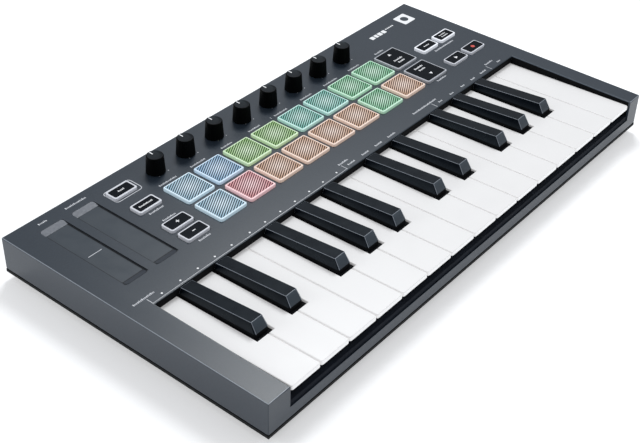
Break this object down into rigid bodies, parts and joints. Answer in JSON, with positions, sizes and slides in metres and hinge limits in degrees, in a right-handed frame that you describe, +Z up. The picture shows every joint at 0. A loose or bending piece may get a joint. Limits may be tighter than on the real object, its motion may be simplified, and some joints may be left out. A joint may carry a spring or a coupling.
{
  "type": "midi keyboard",
  "caption": "Compact bus-powered music controller with mini piano keys, lit pads, rotary knobs, touch strips and buttons in a slim plastic case.",
  "frame": {"origin": "middle of the footprint, on the table, under the feet", "axes": "+X along the keys from low to high notes, +Y from the player to the rear sockets, +Z up"},
  "size_m": [0.33, 0.172, 0.0358],
  "materials": {
    "grey_case": "fine matt texture, slate grey",
    "black_case": "matt black",
    "chassis_black": "matt black",
    "circuit_board": "solder mask over fibre board",
    "white_key": "satin white",
    "black_key": "satin black",
    "knob_black": "matt black with fine flutes",
    "button_cap": "translucent body with a black printed face",
    "pad_rear_1_rubber": "translucent silicone lit from below",
    "pad_rear_2_rubber": "translucent silicone lit from below",
    "pad_rear_3_rubber": "translucent silicone lit from below",
    "pad_rear_4_rubber": "translucent silicone lit from below",
    "pad_rear_5_rubber": "translucent silicone lit from below",
    "pad_rear_6_rubber": "translucent silicone lit from below",
    "pad_rear_7_rubber": "translucent silicone lit from below",
    "pad_rear_8_rubber": "translucent silicone lit from below",
    "pad_front_1_rubber": "translucent silicone lit from below",
    "pad_front_2_rubber": "translucent silicone lit from below",
    "pad_front_3_rubber": "translucent silicone lit from below",
    "pad_front_4_rubber": "translucent silicone lit from below",
    "pad_front_5_rubber": "translucent silicone lit from below",
    "pad_front_6_rubber": "translucent silicone lit from below",
    "pad_front_7_rubber": "translucent silicone lit from below",
    "pad_front_8_rubber": "translucent silicone lit from below"
  },
  "bodies": {
    "case": {"top_case": "grey_case", "bottom_case": "black_case", "key_chassis": "chassis_black", "main_board": "circuit_board"},
    "key_c_1": {"key_c_1": "white_key"},
    "key_c_sharp_1": {"key_c_sharp_1": "black_key"},
    "key_d_1": {"key_d_1": "white_key"},
    "key_f_sharp_1": {"key_f_sharp_1": "black_key"},
    "key_c_3": {"key_c_3": "white_key"},
    "pad_rear_1": {"pad_rear_1": "pad_rear_1_rubber"},
    "pad_front_8": {"pad_front_8": "pad_front_8_rubber"},
    "shift_button": {"shift_button": "button_cap"},
    "nav_up_button": {"nav_up_button": "button_cap"},
    "octave_rocker": {"octave_rocker": "button_cap"},
    "mode_rocker": {"mode_rocker": "button_cap"},
    "transport_rocker": {"transport_rocker": "button_cap"},
    "knob_1": {"knob_1": "knob_black"},
    "knob_8": {"knob_8": "knob_black"},
    "key_e_1": {"key_e_1": "white_key"},
    "key_f_1": {"key_f_1": "white_key"},
    "key_g_1": {"key_g_1": "white_key"},
    "key_a_1": {"key_a_1": "white_key"},
    "key_b_1": {"key_b_1": "white_key"},
    "key_c_2": {"key_c_2": "white_key"},
    "key_d_2": {"key_d_2": "white_key"},
    "key_e_2": {"key_e_2": "white_key"},
    "key_f_2": {"key_f_2": "white_key"},
    "key_g_2": {"key_g_2": "white_key"},
    "key_a_2": {"key_a_2": "white_key"},
    "key_b_2": {"key_b_2": "white_key"},
    "key_d_sharp_1": {"key_d_sharp_1": "black_key"},
    "key_g_sharp_1": {"key_g_sharp_1": "black_key"},
    "key_a_sharp_1": {"key_a_sharp_1": "black_key"},
    "key_c_sharp_2": {"key_c_sharp_2": "black_key"},
    "key_d_sharp_2": {"key_d_sharp_2": "black_key"},
    "key_f_sharp_2": {"key_f_sharp_2": "black_key"},
    "key_g_sharp_2": {"key_g_sharp_2": "black_key"},
    "key_a_sharp_2": {"key_a_sharp_2": "black_key"},
    "pad_rear_2": {"pad_rear_2": "pad_rear_2_rubber"},
    "pad_rear_3": {"pad_rear_3": "pad_rear_3_rubber"},
    "pad_rear_4": {"pad_rear_4": "pad_rear_4_rubber"},
    "pad_rear_5": {"pad_rear_5": "pad_rear_5_rubber"},
    "pad_rear_6": {"pad_rear_6": "pad_rear_6_rubber"},
    "pad_rear_7": {"pad_rear_7": "pad_rear_7_rubber"},
    "pad_rear_8": {"pad_rear_8": "pad_rear_8_rubber"},
    "pad_front_1": {"pad_front_1": "pad_front_1_rubber"},
    "pad_front_2": {"pad_front_2": "pad_front_2_rubber"},
    "pad_front_3": {"pad_front_3": "pad_front_3_rubber"},
    "pad_front_4": {"pad_front_4": "pad_front_4_rubber"},
    "pad_front_5": {"pad_front_5": "pad_front_5_rubber"},
    "pad_front_6": {"pad_front_6": "pad_front_6_rubber"},
    "pad_front_7": {"pad_front_7": "pad_front_7_rubber"},
    "transpose_button": {"transpose_button": "button_cap"},
    "nav_down_button": {"nav_down_button": "button_cap"},
    "knob_2": {"knob_2": "knob_black"},
    "knob_3": {"knob_3": "knob_black"},
    "knob_4": {"knob_4": "knob_black"},
    "knob_5": {"knob_5": "knob_black"},
    "knob_6": {"knob_6": "knob_black"},
    "knob_7": {"knob_7": "knob_black"}
  },
  "joints": [
    {"name": "key_c_1_press", "type": "hinge", "parent": "case", "child": "key_c_1", "pos_m": [-0.13901, 0.006, 0.0179], "axis": [1, 0, 0], "range_deg": [0, 2.6], "stiffness_Nm_per_rad": 0.4, "springref_deg": -3.9},
    {"name": "key_c_sharp_1_press", "type": "hinge", "parent": "case", "child": "key_c_sharp_1", "pos_m": [-0.13073, 0.006, 0.0179], "axis": [1, 0, 0], "range_deg": [0, 2.6], "stiffness_Nm_per_rad": 0.4, "springref_deg": -3.9},
    {"name": "key_d_1_press", "type": "hinge", "parent": "case", "child": "key_d_1", "pos_m": [-0.11885, 0.006, 0.0179], "axis": [1, 0, 0], "range_deg": [0, 2.6], "stiffness_Nm_per_rad": 0.4, "springref_deg": -3.9},
    {"name": "key_f_sharp_1_press", "type": "hinge", "parent": "case", "child": "key_f_sharp_1", "pos_m": [-0.07102, 0.006, 0.0179], "axis": [1, 0, 0], "range_deg": [0, 2.6], "stiffness_Nm_per_rad": 0.4, "springref_deg": -3.9},
    {"name": "key_c_3_press", "type": "hinge", "parent": "case", "child": "key_c_3", "pos_m": [0.14336, 0.006, 0.0179], "axis": [1, 0, 0], "range_deg": [0, 2.6], "stiffness_Nm_per_rad": 0.4, "springref_deg": -3.9},
    {"name": "pad_rear_1_press", "type": "slide", "parent": "case", "child": "pad_rear_1", "axis": [0, 0, -1], "range_m": [0, 0.0008], "stiffness_N_per_m": 1100, "springref_m": -0.0006},
    {"name": "pad_front_8_press", "type": "slide", "parent": "case", "child": "pad_front_8", "axis": [0, 0, -1], "range_m": [0, 0.0008], "stiffness_N_per_m": 1100, "springref_m": -0.0006},
    {"name": "shift_button_press", "type": "slide", "parent": "case", "child": "shift_button", "axis": [0, 0, -1], "range_m": [0, 0.0006], "stiffness_N_per_m": 1000, "springref_m": -0.0006},
    {"name": "nav_up_button_press", "type": "slide", "parent": "case", "child": "nav_up_button", "axis": [0, 0, -1], "range_m": [0, 0.0006], "stiffness_N_per_m": 1000, "springref_m": -0.0006},
    {"name": "octave_rocker_rock", "type": "hinge", "parent": "case", "child": "octave_rocker", "pos_m": [-0.1009, 0.0245, 0.02212], "axis": [1, 0, 0], "range_deg": [-4, 4], "stiffness_Nm_per_rad": 0.09},
    {"name": "mode_rocker_rock", "type": "hinge", "parent": "case", "child": "mode_rocker", "pos_m": [0.136, 0.041, 0.02212], "axis": [0, 1, 0], "range_deg": [-2.4, 2.4], "stiffness_Nm_per_rad": 0.22},
    {"name": "transport_rocker_rock", "type": "hinge", "parent": "case", "child": "transport_rocker", "pos_m": [0.136, 0.0189, 0.02212], "axis": [0, 1, 0], "range_deg": [-2.4, 2.4], "stiffness_Nm_per_rad": 0.22},
    {"name": "knob_1_turn", "type": "hinge", "parent": "case", "child": "knob_1", "pos_m": [-0.07645, 0.0702, 0.0254], "axis": [0, 0, -1], "range_deg": [-150, 150]},
    {"name": "knob_8_turn", "type": "hinge", "parent": "case", "child": "knob_8", "pos_m": [0.0793, 0.0702, 0.0254], "axis": [0, 0, -1], "range_deg": [-150, 150]},
    {"name": "key_e_1_press", "type": "hinge", "parent": "case", "child": "key_e_1", "pos_m": [-0.09867, 0.006, 0.0179], "axis": [1, 0, 0], "range_deg": [0, 2.6], "stiffness_Nm_per_rad": 0.4, "springref_deg": -3.9},
    {"name": "key_f_1_press", "type": "hinge", "parent": "case", "child": "key_f_1", "pos_m": [-0.07851, 0.006, 0.0179], "axis": [1, 0, 0], "range_deg": [0, 2.6], "stiffness_Nm_per_rad": 0.4, "springref_deg": -3.9},
    {"name": "key_g_1_press", "type": "hinge", "parent": "case", "child": "key_g_1", "pos_m": [-0.05833, 0.006, 0.0179], "axis": [1, 0, 0], "range_deg": [0, 2.6], "stiffness_Nm_per_rad": 0.4, "springref_deg": -3.9},
    {"name": "key_a_1_press", "type": "hinge", "parent": "case", "child": "key_a_1", "pos_m": [-0.03816, 0.006, 0.0179], "axis": [1, 0, 0], "range_deg": [0, 2.6], "stiffness_Nm_per_rad": 0.4, "springref_deg": -3.9},
    {"name": "key_b_1_press", "type": "hinge", "parent": "case", "child": "key_b_1", "pos_m": [-0.018, 0.006, 0.0179], "axis": [1, 0, 0], "range_deg": [0, 2.6], "stiffness_Nm_per_rad": 0.4, "springref_deg": -3.9},
    {"name": "key_c_2_press", "type": "hinge", "parent": "case", "child": "key_c_2", "pos_m": [0.00217, 0.006, 0.0179], "axis": [1, 0, 0], "range_deg": [0, 2.6], "stiffness_Nm_per_rad": 0.4, "springref_deg": -3.9},
    {"name": "key_d_2_press", "type": "hinge", "parent": "case", "child": "key_d_2", "pos_m": [0.02235, 0.006, 0.0179], "axis": [1, 0, 0], "range_deg": [0, 2.6], "stiffness_Nm_per_rad": 0.4, "springref_deg": -3.9},
    {"name": "key_e_2_press", "type": "hinge", "parent": "case", "child": "key_e_2", "pos_m": [0.04251, 0.006, 0.0179], "axis": [1, 0, 0], "range_deg": [0, 2.6], "stiffness_Nm_per_rad": 0.4, "springref_deg": -3.9},
    {"name": "key_f_2_press", "type": "hinge", "parent": "case", "child": "key_f_2", "pos_m": [0.06269, 0.006, 0.0179], "axis": [1, 0, 0], "range_deg": [0, 2.6], "stiffness_Nm_per_rad": 0.4, "springref_deg": -3.9},
    {"name": "key_g_2_press", "type": "hinge", "parent": "case", "child": "key_g_2", "pos_m": [0.08285, 0.006, 0.0179], "axis": [1, 0, 0], "range_deg": [0, 2.6], "stiffness_Nm_per_rad": 0.4, "springref_deg": -3.9},
    {"name": "key_a_2_press", "type": "hinge", "parent": "case", "child": "key_a_2", "pos_m": [0.10303, 0.006, 0.0179], "axis": [1, 0, 0], "range_deg": [0, 2.6], "stiffness_Nm_per_rad": 0.4, "springref_deg": -3.9},
    {"name": "key_b_2_press", "type": "hinge", "parent": "case", "child": "key_b_2", "pos_m": [0.12319, 0.006, 0.0179], "axis": [1, 0, 0], "range_deg": [0, 2.6], "stiffness_Nm_per_rad": 0.4, "springref_deg": -3.9},
    {"name": "key_d_sharp_1_press", "type": "hinge", "parent": "case", "child": "key_d_sharp_1", "pos_m": [-0.10696, 0.006, 0.0179], "axis": [1, 0, 0], "range_deg": [0, 2.6], "stiffness_Nm_per_rad": 0.4, "springref_deg": -3.9},
    {"name": "key_g_sharp_1_press", "type": "hinge", "parent": "case", "child": "key_g_sharp_1", "pos_m": [-0.04825, 0.006, 0.0179], "axis": [1, 0, 0], "range_deg": [0, 2.6], "stiffness_Nm_per_rad": 0.4, "springref_deg": -3.9},
    {"name": "key_a_sharp_1_press", "type": "hinge", "parent": "case", "child": "key_a_sharp_1", "pos_m": [-0.02548, 0.006, 0.0179], "axis": [1, 0, 0], "range_deg": [0, 2.6], "stiffness_Nm_per_rad": 0.4, "springref_deg": -3.9},
    {"name": "key_c_sharp_2_press", "type": "hinge", "parent": "case", "child": "key_c_sharp_2", "pos_m": [0.01046, 0.006, 0.0179], "axis": [1, 0, 0], "range_deg": [0, 2.6], "stiffness_Nm_per_rad": 0.4, "springref_deg": -3.9},
    {"name": "key_d_sharp_2_press", "type": "hinge", "parent": "case", "child": "key_d_sharp_2", "pos_m": [0.03423, 0.006, 0.0179], "axis": [1, 0, 0], "range_deg": [0, 2.6], "stiffness_Nm_per_rad": 0.4, "springref_deg": -3.9},
    {"name": "key_f_sharp_2_press", "type": "hinge", "parent": "case", "child": "key_f_sharp_2", "pos_m": [0.07017, 0.006, 0.0179], "axis": [1, 0, 0], "range_deg": [0, 2.6], "stiffness_Nm_per_rad": 0.4, "springref_deg": -3.9},
    {"name": "key_g_sharp_2_press", "type": "hinge", "parent": "case", "child": "key_g_sharp_2", "pos_m": [0.09294, 0.006, 0.0179], "axis": [1, 0, 0], "range_deg": [0, 2.6], "stiffness_Nm_per_rad": 0.4, "springref_deg": -3.9},
    {"name": "key_a_sharp_2_press", "type": "hinge", "parent": "case", "child": "key_a_sharp_2", "pos_m": [0.11571, 0.006, 0.0179], "axis": [1, 0, 0], "range_deg": [0, 2.6], "stiffness_Nm_per_rad": 0.4, "springref_deg": -3.9},
    {"name": "pad_rear_2_press", "type": "slide", "parent": "case", "child": "pad_rear_2", "axis": [0, 0, -1], "range_m": [0, 0.0008], "stiffness_N_per_m": 1100, "springref_m": -0.0006},
    {"name": "pad_rear_3_press", "type": "slide", "parent": "case", "child": "pad_rear_3", "axis": [0, 0, -1], "range_m": [0, 0.0008], "stiffness_N_per_m": 1100, "springref_m": -0.0006},
    {"name": "pad_rear_4_press", "type": "slide", "parent": "case", "child": "pad_rear_4", "axis": [0, 0, -1], "range_m": [0, 0.0008], "stiffness_N_per_m": 1100, "springref_m": -0.0006},
    {"name": "pad_rear_5_press", "type": "slide", "parent": "case", "child": "pad_rear_5", "axis": [0, 0, -1], "range_m": [0, 0.0008], "stiffness_N_per_m": 1100, "springref_m": -0.0006},
    {"name": "pad_rear_6_press", "type": "slide", "parent": "case", "child": "pad_rear_6", "axis": [0, 0, -1], "range_m": [0, 0.0008], "stiffness_N_per_m": 1100, "springref_m": -0.0006},
    {"name": "pad_rear_7_press", "type": "slide", "parent": "case", "child": "pad_rear_7", "axis": [0, 0, -1], "range_m": [0, 0.0008], "stiffness_N_per_m": 1100, "springref_m": -0.0006},
    {"name": "pad_rear_8_press", "type": "slide", "parent": "case", "child": "pad_rear_8", "axis": [0, 0, -1], "range_m": [0, 0.0008], "stiffness_N_per_m": 1100, "springref_m": -0.0006},
    {"name": "pad_front_1_press", "type": "slide", "parent": "case", "child": "pad_front_1", "axis": [0, 0, -1], "range_m": [0, 0.0008], "stiffness_N_per_m": 1100, "springref_m": -0.0006},
    {"name": "pad_front_2_press", "type": "slide", "parent": "case", "child": "pad_front_2", "axis": [0, 0, -1], "range_m": [0, 0.0008], "stiffness_N_per_m": 1100, "springref_m": -0.0006},
    {"name": "pad_front_3_press", "type": "slide", "parent": "case", "child": "pad_front_3", "axis": [0, 0, -1], "range_m": [0, 0.0008], "stiffness_N_per_m": 1100, "springref_m": -0.0006},
    {"name": "pad_front_4_press", "type": "slide", "parent": "case", "child": "pad_front_4", "axis": [0, 0, -1], "range_m": [0, 0.0008], "stiffness_N_per_m": 1100, "springref_m": -0.0006},
    {"name": "pad_front_5_press", "type": "slide", "parent": "case", "child": "pad_front_5", "axis": [0, 0, -1], "range_m": [0, 0.0008], "stiffness_N_per_m": 1100, "springref_m": -0.0006},
    {"name": "pad_front_6_press", "type": "slide", "parent": "case", "child": "pad_front_6", "axis": [0, 0, -1], "range_m": [0, 0.0008], "stiffness_N_per_m": 1100, "springref_m": -0.0006},
    {"name": "pad_front_7_press", "type": "slide", "parent": "case", "child": "pad_front_7", "axis": [0, 0, -1], "range_m": [0, 0.0008], "stiffness_N_per_m": 1100, "springref_m": -0.0006},
    {"name": "transpose_button_press", "type": "slide", "parent": "case", "child": "transpose_button", "axis": [0, 0, -1], "range_m": [0, 0.0006], "stiffness_N_per_m": 1000, "springref_m": -0.0006},
    {"name": "nav_down_button_press", "type": "slide", "parent": "case", "child": "nav_down_button", "axis": [0, 0, -1], "range_m": [0, 0.0006], "stiffness_N_per_m": 1000, "springref_m": -0.0006},
    {"name": "knob_2_turn", "type": "hinge", "parent": "case", "child": "knob_2", "pos_m": [-0.0542, 0.0702, 0.0254], "axis": [0, 0, -1], "range_deg": [-150, 150]},
    {"name": "knob_3_turn", "type": "hinge", "parent": "case", "child": "knob_3", "pos_m": [-0.03195, 0.0702, 0.0254], "axis": [0, 0, -1], "range_deg": [-150, 150]},
    {"name": "knob_4_turn", "type": "hinge", "parent": "case", "child": "knob_4", "pos_m": [-0.0097, 0.0702, 0.0254], "axis": [0, 0, -1], "range_deg": [-150, 150]},
    {"name": "knob_5_turn", "type": "hinge", "parent": "case", "child": "knob_5", "pos_m": [0.01255, 0.0702, 0.0254], "axis": [0, 0, -1], "range_deg": [-150, 150]},
    {"name": "knob_6_turn", "type": "hinge", "parent": "case", "child": "knob_6", "pos_m": [0.0348, 0.0702, 0.0254], "axis": [0, 0, -1], "range_deg": [-150, 150]},
    {"name": "knob_7_turn", "type": "hinge", "parent": "case", "child": "knob_7", "pos_m": [0.05705, 0.0702, 0.0254], "axis": [0, 0, -1], "range_deg": [-150, 150]}
  ]
}
